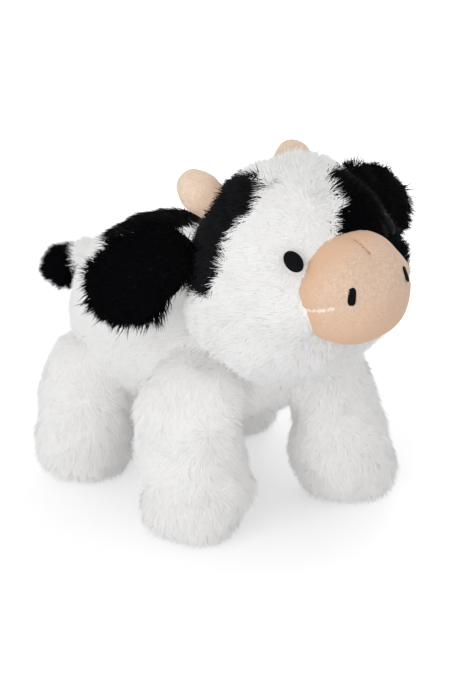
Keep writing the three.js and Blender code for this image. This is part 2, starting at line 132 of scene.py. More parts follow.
class Form:
    """A stuffed form. At a share of its length its ring is base = (1 - |2 share - 1|^blunt)^(1/blunt) wide,
    times the half width and half depth and the table's wide and deep shares, and moved back by its back
    share."""

    def __init__(self, origin, rows, half_wide, half_deep, length, blunt, table):
        self.origin, self.rows = np.asarray(origin, float), np.asarray(rows, float)
        self.half_wide, self.half_deep, self.length = half_wide, half_deep, length
        self.blunt, self.table = blunt, np.array(table, float)
        self.back_rows = np.linalg.inv(self.rows)

    def shares(self, share):
        """Wide, deep and back shares, eased between the table's rows by 3t^2 - 2t^3."""
        at = self.table[:, 0]
        row = np.clip(np.searchsorted(at, share, side="right") - 1, 0, len(at) - 2)
        t = np.clip((share - at[row]) / (at[row + 1] - at[row]), 0, 1)
        t = (t * t * (3 - 2 * t))[..., None]
        both = self.table[row, 1:] * (1 - t) + self.table[row + 1, 1:] * t
        return both[..., 0], both[..., 1], both[..., 2]

    def skin(self, rings, sides, grow, grow_deep=None, grow_long=None):
        """A closed grid of rings by sides points: rings lie at shares (1 - cos(pi i/rings))/2, so they crowd
        towards both poles, and each is (cos t wide, sin t deep) round the middle line, grown by a
        thickness."""
        deeper = grow if grow_deep is None else grow_deep
        longer = grow if grow_long is None else grow_long
        share = ((1 - np.cos(np.pi * np.arange(rings + 1) / rings)) / 2)[:, None]
        turn = (2 * np.pi * np.arange(sides) / sides)[None, :]
        base = np.clip(1 - np.abs(2 * share - 1) ** self.blunt, 0, 1) ** (1 / self.blunt)
        wide, deep, back = self.shares(share)
        x = np.cos(turn) * base * (wide * self.half_wide + grow)
        y = np.sin(turn) * base * (deep * self.half_deep + deeper) + back * self.half_deep
        z = share * (self.length + 2 * longer) - longer + 0 * turn
        return self.origin + np.stack([x, y, z], -1) @ self.rows

    def local(self, points):
        """Points in the form's own frame."""
        return (np.asarray(points, float) - self.origin) @ self.back_rows

    def depth(self, points):
        """Roughly how far points lie inside the form: (1 - f) times its least half size, where f^blunt =
        r^blunt + |2 share - 1|^blunt and r is the distance from the ring's middle in ring widths."""
        p = self.local(points)
        share = p[..., 2] / self.length
        wide, deep, back = self.shares(np.clip(share, 0, 1))
        across = p[..., 0] / (wide * self.half_wide)
        r = np.hypot(across, (p[..., 1] - back * self.half_deep) / (deep * self.half_deep))
        f = (r ** self.blunt + np.abs(2 * share - 1) ** self.blunt) ** (1 / self.blunt)
        return (1 - f) * min(self.half_wide, self.half_deep, self.length / 2)

    def reach(self, start, way):
        """The place where a line from a start inside the form leaves it, found by halving."""
        near, far = 0.0, FAR
        for _ in range(HALVINGS):
            mid = (near + far) / 2
            if self.depth(start + mid * way) > 0:
                near = mid
            else:
                far = mid
        return start + near * way


TORSO_LENGTH, NECK_RADIUS = 210, 44
torso_start = torso_middle + TORSO_LENGTH / 2 * AHEAD
torso_form = Form(torso_start, laid_along(torso_start, torso_middle, UP),
                  half_wide=67, half_deep=66, length=TORSO_LENGTH, blunt=2.4, table=TORSO)
neck_form = Form(neck_middle - NECK_RADIUS * UP, np.eye(3),
                 NECK_RADIUS, NECK_RADIUS, length=2 * NECK_RADIUS, blunt=2, table=EVEN)
head_form = Form(head_place([0, 0, -71]), HEAD_ROWS,
                 half_wide=66, half_deep=71.5, length=144, blunt=2.25, table=HEAD)
MUZZLE_START, MUZZLE_LENGTH = np.array([0, -23, 3.5]), 66
muzzle_rows = laid_along(head_place([0, 0, 0]), head_place(AHEAD), head_way(UP))
muzzle_form = Form(head_place(MUZZLE_START), muzzle_rows,
                   half_wide=38, half_deep=35.5, length=MUZZLE_LENGTH, blunt=2.1, table=MUZZLE)
muzzle_middle = head_place(MUZZLE_START + MUZZLE_LENGTH / 2 * AHEAD)

# A horn's way from the head's middle, and how far its tip stands out of the head.
HORN_AZIMUTH, HORN_RISE, HORN_OUT = 137, 44.5, 21.5
HORN_LENGTH, HORN_RADIUS = 46, 13.7
# How far an ear is swept back, hangs down and faces up, and how far it goes on into the head.
EAR_SWEEP, EAR_DROP, EAR_INSIDE = {"right": 38, "left": 8}, 22, 12
horn_forms, ear_forms, ear_ways = {}, {}, {}
for name, side in SIDES.items():
    way = head_way(compass(side, HORN_AZIMUTH, HORN_RISE))
    tip = head_form.reach(head_middle, way) + HORN_OUT * way
    base = tip - HORN_LENGTH * way
    horn_forms[name] = Form(base, laid_along(base, tip, head_way(-AHEAD)), HORN_RADIUS, HORN_RADIUS,
                            length=HORN_LENGTH, blunt=2.5, table=HORN)
    length_way = head_way(compass(side, 90 + EAR_SWEEP[name], -EAR_DROP))
    face_way = head_way(compass(side, EAR_SWEEP[name] + 24, EAR_DROP))
    wide_way = unit(np.cross(length_way, face_way))
    face_way = unit(np.cross(wide_way, length_way))
    root = seams["ear_%s_flap" % name]
    start = root - EAR_INSIDE * length_way
    ear_forms[name] = Form(start, laid_along(start, root, face_way),
                           half_wide=35, half_deep=7.5, length=100, blunt=2.4, table=EAR)
    ear_ways[name] = length_way

# Places from each leg's hip seam: its top, its sole, the whorls from which its pile runs outwards, and its
# swellings and dents, each (place, height, spread).
LEGS = {
    "leg_front_right": dict(
        top=(-14, -12, -8), sole=(-19, -11, -94.5), top_round=35, foot=39,
        whorls=[(-28, -45, -20), (-27, -49, -56)],
        shaping=[((14, -30, -10), -9, 24), ((-52, 14, -2), 11, 27), ((14, -38, -66), 3, 18)]),
    "leg_front_left": dict(
        top=(14, -12, -8), sole=(30, -22, -94.5), top_round=35, foot=39,
        whorls=[(-5, -39, 7), (-1, -46, -35), (-10, -26, -73)],
        shaping=[((-8, 0, -34), -8, 22), ((57, -44, -68), 3, 14), ((52, -37, -44), -2, 12)]),
    "leg_rear_right": dict(
        top=(-17, -2, -10), sole=(-24.5, -5.5, -76.5), top_round=33, foot=36.5,
        whorls=[(-37, -29, -15)], shaping=[((4, -29, -66), 3, 14)]),
    "leg_rear_left": dict(
        top=(17, -2, -10), sole=(24.5, -5.5, -76.5), top_round=33, foot=36.5,
        whorls=[(37, -29, -15)], shaping=[((-4, -29, -66), 3, 14), ((50, -24, -44), -6, 26)]),
}
leg_forms = {}
for name, leg in LEGS.items():
    hip = seams[name + "_swing"]
    top, sole = hip + leg["top"], hip + leg["sole"]
    rise = top[2] - sole[2]
    lean = (top - sole) / rise
    leg_forms[name] = Form(sole, [[1, 0, 0], [0, 1, 0], lean], leg["foot"], leg["foot"],
                           length=rise + leg["top_round"], blunt=3.6, table=LEG)

tail_way = compass(side=-1, azimuth=135, rise=-20)
tail_root, tail_end = seams["tail_lift"], seams["tuft_wag"]
tail_rows = laid_along(tail_root, tail_end, UP)
tail_form = Form(tail_root - 10 * tail_way, tail_rows,
                 half_wide=13.5, half_deep=13.5, length=31, blunt=2.5, table=EVEN)
tuft_form = Form(tail_end - 12 * tail_way, tail_rows,
                 half_wide=15, half_deep=15, length=34, blunt=2.5, table=TUFT)


def patch_form(middle, rows, place, reach):
    """The rounded form whose inside is black, at a place in a frame, with its reach to each side."""
    centre = middle + np.asarray(place, float) @ rows
    return Form(centre - reach[2] * rows[2], rows, reach[0], reach[1], 2 * reach[2], blunt=2.2, table=EVEN)


back_patch = patch_form(torso_middle, np.eye(3), (8, 36, 62), (47, 50, 38))
right_patches = [patch_form(head_middle, HEAD_ROWS, (-56, 31, 43), (47, 39, 45)),
                 patch_form(head_middle, HEAD_ROWS, (-34, 9, 62), (22, 22, 24))]
left_patches = [patch_form(head_middle, HEAD_ROWS, (47, -48, 31), (54, 49, 44)),
                patch_form(head_middle, HEAD_ROWS, (70, 6, 24), (34, 45, 34))]

# Noise


def waves(points, size, seed, count=7):
    """Soft noise, mostly between -1 and 1: the sum of sine waves that run in scattered ways and are about a
    size long, over the root of their count."""
    rng = np.random.default_rng(seed)
    ways = unit(rng.normal(size=(count, 3))) * rng.uniform(0.7, 1.5, (count, 1)) * 2 * np.pi / size
    return np.sin(points @ ways.T + rng.uniform(0, 6.28, count)).sum(-1) / math.sqrt(count)


def wave_ways(points, size, seed):
    """A soft noise way at each point."""
    return np.stack([waves(points, size, seed + k) for k in range(3)], -1)


SCATTER = np.array([[127.1, 269.5, 419.2], [311.7, 183.3, 371.9], [74.7, 246.1, 107.3]])
SCATTER_GAIN = 43758.5453


def scattered(cells):
    """Three steady numbers from 0 to 1 for each whole-number cell, as if at random: what is left of large
    sines."""
    large = np.sin(cells @ SCATTER) * SCATTER_GAIN
    return large - np.floor(large)


def to_clump(points, size):
    """The way from each point to the nearest of the scattered clump middles, one in each cube of a size."""
    cells = np.floor(points / size)
    best, pull = np.full(len(points), np.inf), np.zeros_like(points)
    for shift in np.indices((3, 3, 3)).reshape(3, -1).T - 1:
        near = cells + shift
        way = (near + scattered(near)) * size - points
        gap = (way ** 2).sum(-1)
        closer = gap < best
        best[closer], pull[closer] = gap[closer], way[closer]
    return pull


# Meshes


def put_mesh(name, points, sizes, corners, uv=None):
    """A mesh object from points in millimetres, the number of corners of each face, and their point
    numbers."""
    mesh = bpy.data.meshes.new(name)
    mesh.vertices.add(len(points))
    mesh.vertices.foreach_set("co", (np.asarray(points) * MM).astype(np.float32).ravel())
    sizes = np.asarray(sizes, np.int32)
    mesh.loops.add(len(corners))
    mesh.loops.foreach_set("vertex_index", np.asarray(corners, np.int32))
    mesh.polygons.add(len(sizes))
    mesh.polygons.foreach_set("loop_start", (np.cumsum(sizes) - sizes).astype(np.int32))
    mesh.polygons.foreach_set("loop_total", sizes)
    mesh.polygons.foreach_set("use_smooth", np.ones(len(sizes), bool))
    if uv is not None:
        layer = mesh.uv_layers.new(name="OFBake")
        layer.data.foreach_set("uv", np.asarray(uv, np.float32)[np.asarray(corners)].ravel())
    mesh.update(calc_edges=True)
    mesh.validate()
    piece = bpy.data.objects.new(name, mesh)
    bpy.context.scene.collection.objects.link(piece)
    return piece


def closed_faces(rings, sides):
    """Corner counts and corners of a closed grid: fans at both poles and four-cornered faces between. Point
    0 is the first pole, then come the rings in order, then the last pole."""
    at = np.arange(sides)
    after = (at + 1) % sides
    last = 1 + (rings - 1) * sides
    fan_a = np.stack([np.zeros_like(at), 1 + after, 1 + at], -1)
    ring = (1 + sides * np.arange(rings - 2))[:, None]
    quads = np.stack([ring + at, ring + after, ring + sides + after, ring + sides + at], -1).reshape(-1, 4)
    fan_b = np.stack([last - sides + at, last - sides + after, np.full_like(at, last)], -1)
    sizes = np.concatenate([np.full(sides, 3), np.full(len(quads), 4), np.full(sides, 3)])
    return sizes, np.concatenate([fan_a.ravel(), quads.ravel(), fan_b.ravel()])


def closed_points(grid):
    """The points or values of a closed grid, with each pole's row as one."""
    return np.concatenate([grid[:1, 0], grid[1:-1].reshape(-1, grid.shape[-1]), grid[-1:, 0]])


def grid_from(points, rings, sides):
    """A closed grid from its points, with each pole repeated along its row."""
    return np.concatenate([np.repeat(points[:1], sides, 0)[None], points[1:-1].reshape(rings - 1, sides, 3),
                           np.repeat(points[-1:], sides, 0)[None]])


def grid_normals(grid):
    """The ways out of a closed grid: (next side - last side) x (next ring - last ring), and at a pole the
    mean of the ring beside it."""
    around, along = np.roll(grid, -1, 1) - np.roll(grid, 1, 1), np.zeros_like(grid)
    along[1:-1] = grid[2:] - grid[:-2]
    way = np.cross(around, along)
    for pole, beside in ((0, 1), (-1, -2)):
        way[pole] = unit(way[beside]).mean(0)
    return unit(way)


def lumpy(grid, size, height, seed):
    """A grid pushed out and in along its normals by soft noise, as stuffing does."""
    return grid + grid_normals(grid) * (waves(grid, size, seed) * height)[..., None]


def swollen(grid, swellings):
    """A grid pushed out by smooth swellings, each (place, height, spread): height times e^-(gap /
    spread)^2."""
    normals, push = grid_normals(grid), 0
    for place, height, spread in swellings:
        gap = np.linalg.norm(grid - place, axis=-1)
        push = push + height * np.exp(-(gap / spread) ** 2)
    return grid + normals * push[..., None]


def filled_creases(grid, forms, room):
    """A grid pushed out beside other forms, as cloth is where stuffed parts are sewn together: by room h^2 /
    4, where h is 1 on the other form's surface and falls to 0 a room away from it."""
    push = 0
    for form in forms:
        h = np.clip(1 - np.abs(form.depth(grid)) / room, 0, 1)
        push = push + room * h * h / 4
    return grid + grid_normals(grid) * push[..., None]


CLOTH_STEPS = 20
CLOTH = dict(quality=4, mass=0.001, bending_stiffness=0.05, tension_stiffness=1, compression_stiffness=1,
             shear_stiffness=1, use_pressure=True, uniform_pressure_force=4, shrink_min=-0.05,
             vertex_group_mass="held")


def stuffed(grid, seam_lines, cap=3.0):
    """The cloth of a stuffed form, held along its seam lines and beside its poles and blown up by its
    filling. A point moves along its normal only, by no more than a cap, and the mean swell is taken off
    again."""
    rings, sides = grid.shape[0] - 1, grid.shape[1]
    before, scene = closed_points(grid), bpy.context.scene
    piece = put_mesh("stuffed_form", before, *closed_faces(rings, sides))
    held = np.zeros(grid.shape)
    held[:2], held[-2:], held[:, seam_lines] = 1, 1, 1
    pins = piece.vertex_groups.new(name="held")
    pins.add(np.nonzero(closed_points(held)[:, 0])[0].tolist(), 1.0, "REPLACE")
    cloth = piece.modifiers.new("stuffing", "CLOTH")
    for label, value in CLOTH.items():
        setattr(cloth.settings, label, value)
    cloth.settings.effector_weights.gravity = 0
    cloth.collision_settings.use_collision = False
    for step in range(CLOTH_STEPS):
        scene.frame_set(step + 1)
    shape = piece.evaluated_get(bpy.context.evaluated_depsgraph_get()).data
    after = np.empty(len(before) * 3, np.float32)
    shape.vertices.foreach_get("co", after)
    scene.frame_set(1)
    mesh = piece.data
    bpy.data.objects.remove(piece)
    bpy.data.meshes.remove(mesh)
    normals = closed_points(grid_normals(grid))
    swell = ((after.reshape(-1, 3) / MM - before) * normals).sum(-1, keepdims=True)
    return grid_from(before + normals * np.clip(swell - swell.mean(), -cap, cap), rings, sides)


def skin_piece(name, grid, subdivide=0):
    """A closed mesh of a grid."""
    rings, sides = grid.shape[0] - 1, grid.shape[1]
    piece = put_mesh(name, closed_points(grid), *closed_faces(rings, sides))
    if subdivide:
        step = piece.modifiers.new("rounding", "SUBSURF")
        step.levels = step.render_levels = subdivide
    return piece


def strewn(grid, per_square, rng):
    """Roots strewn evenly over a closed grid, with the way out at each: faces are picked along the running
    sum of their areas, and a place in a face is the mean of its corners weighted by two random shares."""
    normals = grid_normals(grid)
    a, b = grid[:-1], np.roll(grid, -1, 1)[:-1]
    c, d = np.roll(grid, -1, 1)[1:], grid[1:]
    area = (np.linalg.norm(np.cross(c - a, d - b), axis=-1) / 2).ravel()
    total = np.cumsum(area)
    count = int(total[-1] * per_square)
    pick = np.searchsorted(total, (np.arange(count) + rng.random(count)) / count * total[-1])
    pick = np.clip(pick, 0, len(area) - 1)
    u, v = rng.random(count)[:, None], rng.random(count)[:, None]
    place, way = [], []
    for source, out in ((grid, place), (normals, way)):
        turned_on = np.roll(source, -1, 1)
        four = [source[:-1], turned_on[:-1], turned_on[1:], source[1:]]
        four = [corner.reshape(-1, 3)[pick] for corner in four]
        out.append(four[0] * (1 - u) * (1 - v) + four[1] * u * (1 - v)
                   + four[2] * u * v + four[3] * (1 - u) * v)
    return place[0], unit(way[0])


def outside(points, *forms):
    """True where points aren't deeper than a room inside any of the forms, given as (form, room) pairs."""
    keep = np.ones(len(points), bool)
    for form, room in forms:
        keep &= form.depth(points) < room
    return keep


def strewn_outside(grid, per_square, rng, *forms):
    """Roots strewn over a grid, and the way out at each, without those inside the forms."""
    roots, normals = strewn(grid, per_square * DENSITY, rng)
    keep = outside(roots, *forms)
    return roots[keep], normals[keep]


def laid_flat(ways, normals):
    """Ways less what they have along the normals."""
    return ways - (ways * normals).sum(-1, keepdims=True) * normals


def flatter(share, first=28, last=66):
    """A strand's first and last lean in degrees, up to 28 and 17 more by a share."""
    return first + 28 * share, last + 17 * share


# Pile

# DENSITY multiplies how many strands a piece asks for, per square millimetre. SOFT is how far a strand's
# normals lean towards the skin's. The under coat is shorter and thicker, and is drawn less to the clumps.
DENSITY = 1.6
PILE, WIDTH, ROOT_DEPTH, SOFT = 12.0, 0.72, 0.8, 2.5
UNDER_LENGTH, UNDER_WIDTH, UNDER_PULL = 0.85, 1.3, 0.3
LOW_PART, HIGH_PART, LOW_PULL, HIGH_PULL = 0.46, 0.54, 0.4, 0.6
RING_HEIGHTS, RING_WIDTHS = np.array([[0.6], [-0.1], [-0.1]]), np.array([[0], [0.87], [-0.87]])
# The corners of a strand's faces, how many each has, its points' places on its map, and its low corners.
BENT = dict(corners=[2, 1, 0, 0, 1, 4, 3, 1, 2, 5, 4, 2, 0, 3, 5, 3, 4, 6, 4, 5, 6, 5, 3, 6],
            faces=[3, 4, 4, 4, 3, 3, 3], across=[0, 0.008, -0.008, 0, 0.008, -0.008, 0],
            along=[0.02, 0.02, 0, 0.46, 0.46, 0.44, 1], under=[7, 8, 9, 10, 18, 19, 20])
STRAIGHT = dict(corners=[2, 1, 0, 0, 1, 3, 1, 2, 3, 2, 0, 3], faces=[3, 3, 3, 3],
                across=[0, 0.008, -0.008, 0], along=[0.02, 0.02, 0, 1], under=[6, 7, 8])


def strand_ring(place, along, thick, normals):
    """A low ridge and two sides round a place, square to the strand, and the ways there."""
    side = unit(np.cross(along, normals))
    top = np.cross(side, along)[:, None]
    offsets = RING_HEIGHTS * top + RING_WIDTHS * side[:, None]
    return place[:, None] + thick[:, None, None] * offsets, unit(offsets + 0.3 * top), top


def pile(name, roots, normals, comb, length, rng, lean=flatter(0), clump=7.0, pull=0.4, floor=None, bent=0.3,
         tilt=0.3):
    """Strands of pile. A bent strand is a spike with three sides and seven points: a ring at its root, a
    ring at its middle and a point. It leaves the skin at the first lean from straight out and ends at the
    second, towards the comb way. A straight strand of the under coat has a ring and a point, and leans in
    between. Points are drawn towards their clump's middle. A strand's low ridge faces out. Its own map holds
    its tone from side to side, and 0 at the root to 1 at the tip. Its normals lean towards the skin's, so
    that light falls softly on it. Under it they point along it and out by a tilt, which is less than 0 where
    the pile is seen from its tips."""
    count = len(roots)
    order = rng.random(count) < bent
    length = length * rng.uniform(0.8, 1.12, count) * np.where(order, 1, UNDER_LENGTH)
    spin = rng.normal(0, 0.2, count)[:, None]
    comb = unit(laid_flat(comb + 0.16 * rng.normal(size=comb.shape), normals))
    comb = comb * np.cos(spin) + np.cross(normals, comb) * np.sin(spin)
    first = np.radians(lean[0] + rng.normal(0, 7, count))[:, None]
    last = np.radians(lean[1] + rng.normal(0, 8, count))[:, None]
    to_middle = np.reshape(pull, (-1, 1)) * laid_flat(to_clump(roots, clump), normals)
    to_middle = to_middle * np.where(order, 1, UNDER_PULL)[:, None]
    start = roots - ROOT_DEPTH * normals
    out = np.cos(first) * normals + np.sin(first) * comb
    on = np.cos(last) * normals + np.sin(last) * comb
    middle = start + out * (LOW_PART * length[:, None]) + LOW_PULL * to_middle
    end = middle + on * (HIGH_PART * length[:, None]) + HIGH_PULL * to_middle
    radius = WIDTH / 1.732 * rng.uniform(0.8, 1.2, count) * np.where(order, 1, UNDER_WIDTH)
    if floor is not None:
        end[:, 2] = np.maximum(end[:, 2], floor + rng.uniform(0, 1.5, count))
        middle[:, 2] = np.maximum(middle[:, 2], floor + 0.6 + rng.uniform(0, 1.5, count))
    tone = np.clip(0.5 + 0.16 * rng.normal(size=count) + 0.14 * waves(roots, 22, 77), 0.02, 0.98)

    points, ways, uvs, sizes, corners, first_point = [], [], [], [], [], 0
    for mask, strand in ((order, BENT), (~order, STRAIGHT)):
        n, low_end, tip = normals[mask], start[mask], end[mask]
        high_end = middle[mask] if strand is BENT else tip
        ring, ring_ways, top = strand_ring(low_end, unit(high_end - low_end), radius[mask], n)
        if strand is BENT:
            high, high_ways, top = strand_ring(high_end, unit(tip - high_end), 0.9 * radius[mask], n)
            ring, ring_ways = np.concatenate([ring, high], 1), np.concatenate([ring_ways, high_ways], 1)
        strands, size = len(n), len(strand["along"])
        points.append(np.concatenate([ring, tip[:, None]], 1).reshape(-1, 3))
        way = unit(np.concatenate([ring_ways, top], 1) + SOFT * n[:, None])[:, strand["corners"]]
        way[:, strand["under"]] = unit(unit(tip - low_end) + tilt * n)[:, None]
        ways.append(way.reshape(-1, 3))
        numbers = np.array(strand["corners"]) + size * np.arange(strands)[:, None]
        corners.append(numbers.ravel() + first_point)
        sizes.append(np.tile(strand["faces"], strands))
        across = tone[mask][:, None] + strand["across"]
        uvs.append(np.stack([across, np.broadcast_to(strand["along"], across.shape)], -1).reshape(-1, 2))
        first_point += strands * size
    points = np.concatenate(points)
    if floor is not None:
        points[:, 2] = np.maximum(points[:, 2], floor)
    piece = put_mesh(name, points, np.concatenate(sizes), np.concatenate(corners), np.concatenate(uvs))
    layer = piece.data.attributes.new("custom_normal", "FLOAT_VECTOR", "CORNER")
    layer.data.foreach_set("vector", np.concatenate(ways).astype(np.float32).ravel())
    piece.visible_diffuse = False  # light gets between real fibres, so strands don't darken each other
    return piece


# Materials


def add_node(tree, kind, inputs, **settings):
    """A new shader node with its settings. Each of its inputs, by name or number, is linked to a socket or
    given a value, and a colour gets an alpha of 1."""
    node = tree.nodes.new("ShaderNode" + kind)
    for label, value in settings.items():
        setattr(node, label, value)
    for label, value in inputs.items():
        socket = node.inputs[label]
        if hasattr(value, "links"):
            tree.links.new(value, socket)
        else:
            socket.default_value = (*value, 1) if socket.type == "RGBA" else value
    return node


def math_node(tree, operation, *values):
    """A Math node's output, with each value a number or a socket."""
    return add_node(tree, "Math", dict(enumerate(values)), operation=operation).outputs[0]


def clamped(tree, value):
    """A value kept between 0 and 1."""
    return math_node(tree, "MINIMUM", math_node(tree, "MAXIMUM", value, 0.0), 1.0)


def mixed(tree, amount, first, second):
    """A colour between two, each a colour or a socket."""
    return add_node(tree, "Mix", {0: amount, 6: first, 7: second}, data_type="RGBA").outputs[2]


def noise_node(tree, scale, detail, vector, rough=0.5):
    """Noise from 0 to 1 over a place."""
    inputs = {"Scale": scale, "Detail": detail, "Roughness": rough, "Vector": vector}
    return add_node(tree, "TexNoise", inputs).outputs[0]


def attribute(tree, name):
    """The number that a piece's own attribute holds."""
    return add_node(tree, "Attribute", {}, attribute_name=name).outputs["Fac"]


def new_material(name):
    """An empty material, and its node tree."""
    material = bpy.data.materials.new(name)
    material.use_nodes = True
    material.node_tree.nodes.clear()
    return material, material.node_tree


def surface(tree, inputs):
    """A Principled shader with its inputs, as a material's surface."""
    shader = add_node(tree, "BsdfPrincipled", inputs)
    add_node(tree, "OutputMaterial", {"Surface": shader.outputs[0]})


def group(name, inputs, outputs):
    """A new shader node group, with what its inputs give and its outputs take. Each socket has a name and a
    kind, or a number that it holds."""
    tree = bpy.data.node_groups.new(name, "ShaderNodeTree")
    for way, sockets in (("INPUT", inputs), ("OUTPUT", outputs)):
        for label, kind in sockets.items():
            held = isinstance(kind, float)
            socket_type = "NodeSocket" + ("Float" if held else kind)
            socket = tree.interface.new_socket(label, in_out=way, socket_type=socket_type)
            if held:
                socket.default_value = kind
    return tree, tree.nodes.new("NodeGroupInput").outputs, tree.nodes.new("NodeGroupOutput").inputs


def build_strand_tone():
    """Colour along a strand, from root over length to tip, and darker by its tone times the spread. The root
    is darker than the tip, as painted shade deep in the pile.
    """
    tree, given, out = group("strand_tone", dict(
        Strand="Vector", Root="Color", Length="Color", Tip="Color", Darker="Color", Spread=0.5),
        dict(Colour="Color"))
    do = partial(math_node, tree)
    tone, along, _ = add_node(tree, "SeparateXYZ", {0: given["Strand"]}).outputs
    twice = do("MULTIPLY", along, 2.0)
    body = mixed(tree, do("MINIMUM", twice, 1.0), given["Root"], given["Length"])
    high = do("MAXIMUM", do("SUBTRACT", twice, 1.0), 0.0)
    body = mixed(tree, high, body, given["Tip"])
    dark = do("MULTIPLY", tone, given["Spread"])
    tree.links.new(mixed(tree, dark, body, given["Darker"]), out[0])
    return tree


def build_seam_line():
    """A seam on a curved surface: 1 on the plane through its start and its reach and 0 a width to either
    side of it, where across is the way out of that plane, fading past both ends, and made wavy by noise."""
    tree, given, out = group(
        "seam_line", dict(Place="Vector", Start="Vector", Reach="Vector", Across="Vector", Width=0.001),
        dict(Line="Float"))
    do = partial(math_node, tree)

    def both(operation, first, second, output="Value"):
        """What a Vector Math node makes of two sockets."""
        return add_node(tree, "VectorMath", {0: first, 1: second}, operation=operation).outputs[output]

    reach = given["Reach"]
    off = both("SUBTRACT", given["Place"], given["Start"], "Vector")
    t = do("DIVIDE", both("DOT_PRODUCT", off, reach), both("DOT_PRODUCT", reach, reach))
    past = do("SUBTRACT", do("ABSOLUTE", do("SUBTRACT", t, 0.5)), 0.5)
    past = do("MULTIPLY", do("MAXIMUM", past, 0.0), 8.0)
    gap = do("ABSOLUTE", both("DOT_PRODUCT", off, given["Across"]))
    wavy = do("SUBTRACT", noise_node(tree, 500, 2, given["Place"]), 0.5)
    line = do("ADD", 1.0, do("MULTIPLY", wavy, 3.0))
    line = do("SUBTRACT", line, do("DIVIDE", gap, given["Width"]))
    tree.links.new(clamped(tree, do("SUBTRACT", line, past)), out[0])
    return tree


def build_nap():
    """Short brushed nap: soft mottling in shade, and the height of fine fibres."""
    tree, given, out = group(
        "nap", dict(Place="Vector", Base="Color", Brushed="Color", Deep="Color", Mottle=90.0, Fibre=1400.0),
        dict(Colour="Color", Height="Float"))
    do = partial(math_node, tree)
    mottle = noise_node(tree, given["Mottle"], 3, given["Place"], rough=0.6)
    fibre = noise_node(tree, given["Fibre"], 2, given["Place"], rough=0.7)
    patchy = clamped(tree, do("MULTIPLY", do("SUBTRACT", mottle, 0.35), 2.4))
    grain = clamped(tree, do("MULTIPLY", do("SUBTRACT", 0.62, fibre), 1.8))
    colour = mixed(tree, patchy, given["Base"], given["Brushed"])
    tree.links.new(mixed(tree, grain, colour, given["Deep"]), out["Colour"])
    height = do("ADD", do("MULTIPLY", mottle, 0.6), fibre)
    tree.links.new(height, out["Height"])
    return tree


strand_tone, nap, seam_line = build_strand_tone(), build_nap(), build_seam_line()


def pile_material(name, root, length, tip, darker, spread, roughness, specular, sheen, sheen_tint):
    """Long pile, coloured along each strand from the strand's own map."""
    material, tree = new_material(name)
    strand = add_node(tree, "UVMap", {}, uv_map="OFBake").outputs[0]
    tone = add_node(tree, "Group", {"Strand": strand, "Root": root, "Length": length, "Tip": tip,
                                    "Darker": darker, "Spread": spread}, node_tree=strand_tone)
    surface(tree, {"Base Color": tone.outputs[0], "Roughness": roughness, "Specular IOR Level": specular,
                   "Sheen Weight": sheen, "Sheen Roughness": 0.4, "Sheen Tint": sheen_tint})
    return material


def napped(tree, base, brushed, deep, mottle, fibre, bump, rise):
    """The place on a piece, and the colour of nap there and its normal, bumped by fibres of a rise in
    metres."""
    place = add_node(tree, "TexCoord", {}).outputs["Object"]
    cloth = add_node(tree, "Group", {"Place": place, "Base": base, "Brushed": brushed, "Deep": deep,
                                     "Mottle": mottle, "Fibre": fibre}, node_tree=nap)
    bumped = add_node(tree, "Bump", {"Strength": bump, "Distance": rise, "Height": cloth.outputs["Height"]})
    return place, cloth.outputs["Colour"], bumped.outputs[0]


def nap_material(name, base, brushed, deep, mottle, fibre, bump, sheen_tint, edge, lines=()):
    """Short nap, with a bump from its fibres, painted shade in a warmer, darker colour by the piece's own
    edge attribute, and seam lines, each (start, end, way across, width, colour) in millimetres."""
    material, tree = new_material(name)
    place, colour, normal = napped(tree, base, brushed, deep, mottle, fibre, bump, rise=0.0004)
    # Painted shade: the edge colour, warmer and darker, goes where the edge attribute is high.
    colour = mixed(tree, attribute(tree, "edge"), colour, edge)
    for start, end, across, width, tint in lines:
        line = add_node(tree, "Group", {
            "Place": place, "Start": in_metres(start), "Reach": in_metres(end - start), "Across": across,
            "Width": width * MM}, node_tree=seam_line)
        colour = mixed(tree, line.outputs[0], colour, tint)
    surface(tree, {"Base Color": colour, "Normal": normal, "Roughness": 0.88, "Specular IOR Level": 0.2,
                   "Subsurface Weight": 0.2, "Subsurface Radius": (1.0, 0.35, 0.2), "Subsurface Scale": 0.006,
                   "Sheen Weight": 0.1, "Sheen Roughness": 0.45, "Sheen Tint": sheen_tint})
    return material


def skin_material(name, pale, dark):
    """The backing under the pile: pale or dark by the piece's own attribute, with a knitted grain."""
    material, tree = new_material(name)
    brushed, deep = [0.94 * c for c in pale], [0.8 * c for c in pale]
    _, colour, normal = napped(tree, pale, brushed, deep, mottle=90.0, fibre=900, bump=0.5, rise=0.0006)
    surface(tree, {"Base Color": mixed(tree, attribute(tree, "black"), colour, dark), "Normal": normal,
                   "Roughness": 0.92, "Specular IOR Level": 0.1})
    return material


def thread_material(name, dark, shiny):
    """Satin stitch: threads side by side, between two colours by the piece's own thread attribute: the shiny
    one is a painted highlight on each thread's ridge.
    """
    material, tree = new_material(name)
    surface(tree, {"Base Color": mixed(tree, attribute(tree, "thread"), dark, shiny), "Roughness": 0.5,
                   "Specular IOR Level": 0.04})
    return material
